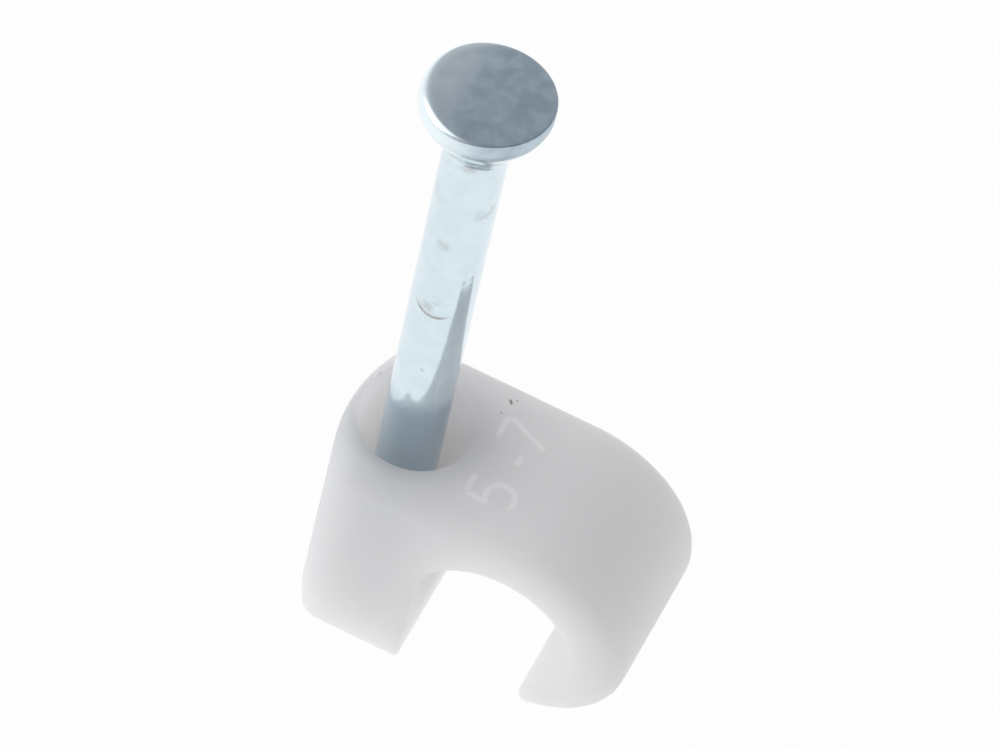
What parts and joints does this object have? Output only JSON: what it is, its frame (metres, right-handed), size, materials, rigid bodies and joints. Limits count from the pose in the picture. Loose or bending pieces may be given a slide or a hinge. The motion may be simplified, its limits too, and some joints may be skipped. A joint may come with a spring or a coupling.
{
  "type": "nail-in cable clip",
  "caption": "Moulded cable clip: a rounded hook holds a round cable against a wall, fixed by the flat-headed steel nail that waits in the funnel socket beside the hook.",
  "frame": {"origin": "where the nail's axis meets the wall plane, in the middle of the column's foot", "axes": "+Z out of the wall along the nail, +X from the nail towards the cable, Y along the cable"},
  "size_m": [0.0112, 0.006, 0.0245],
  "materials": {
    "clip_plastic": "satin white moulded polyethylene",
    "nail_zinc": "bright zinc-plated steel with light scuffs"
  },
  "bodies": {
    "root": {"clip": "clip_plastic", "nail": "nail_zinc"}
  },
  "joints": []
}
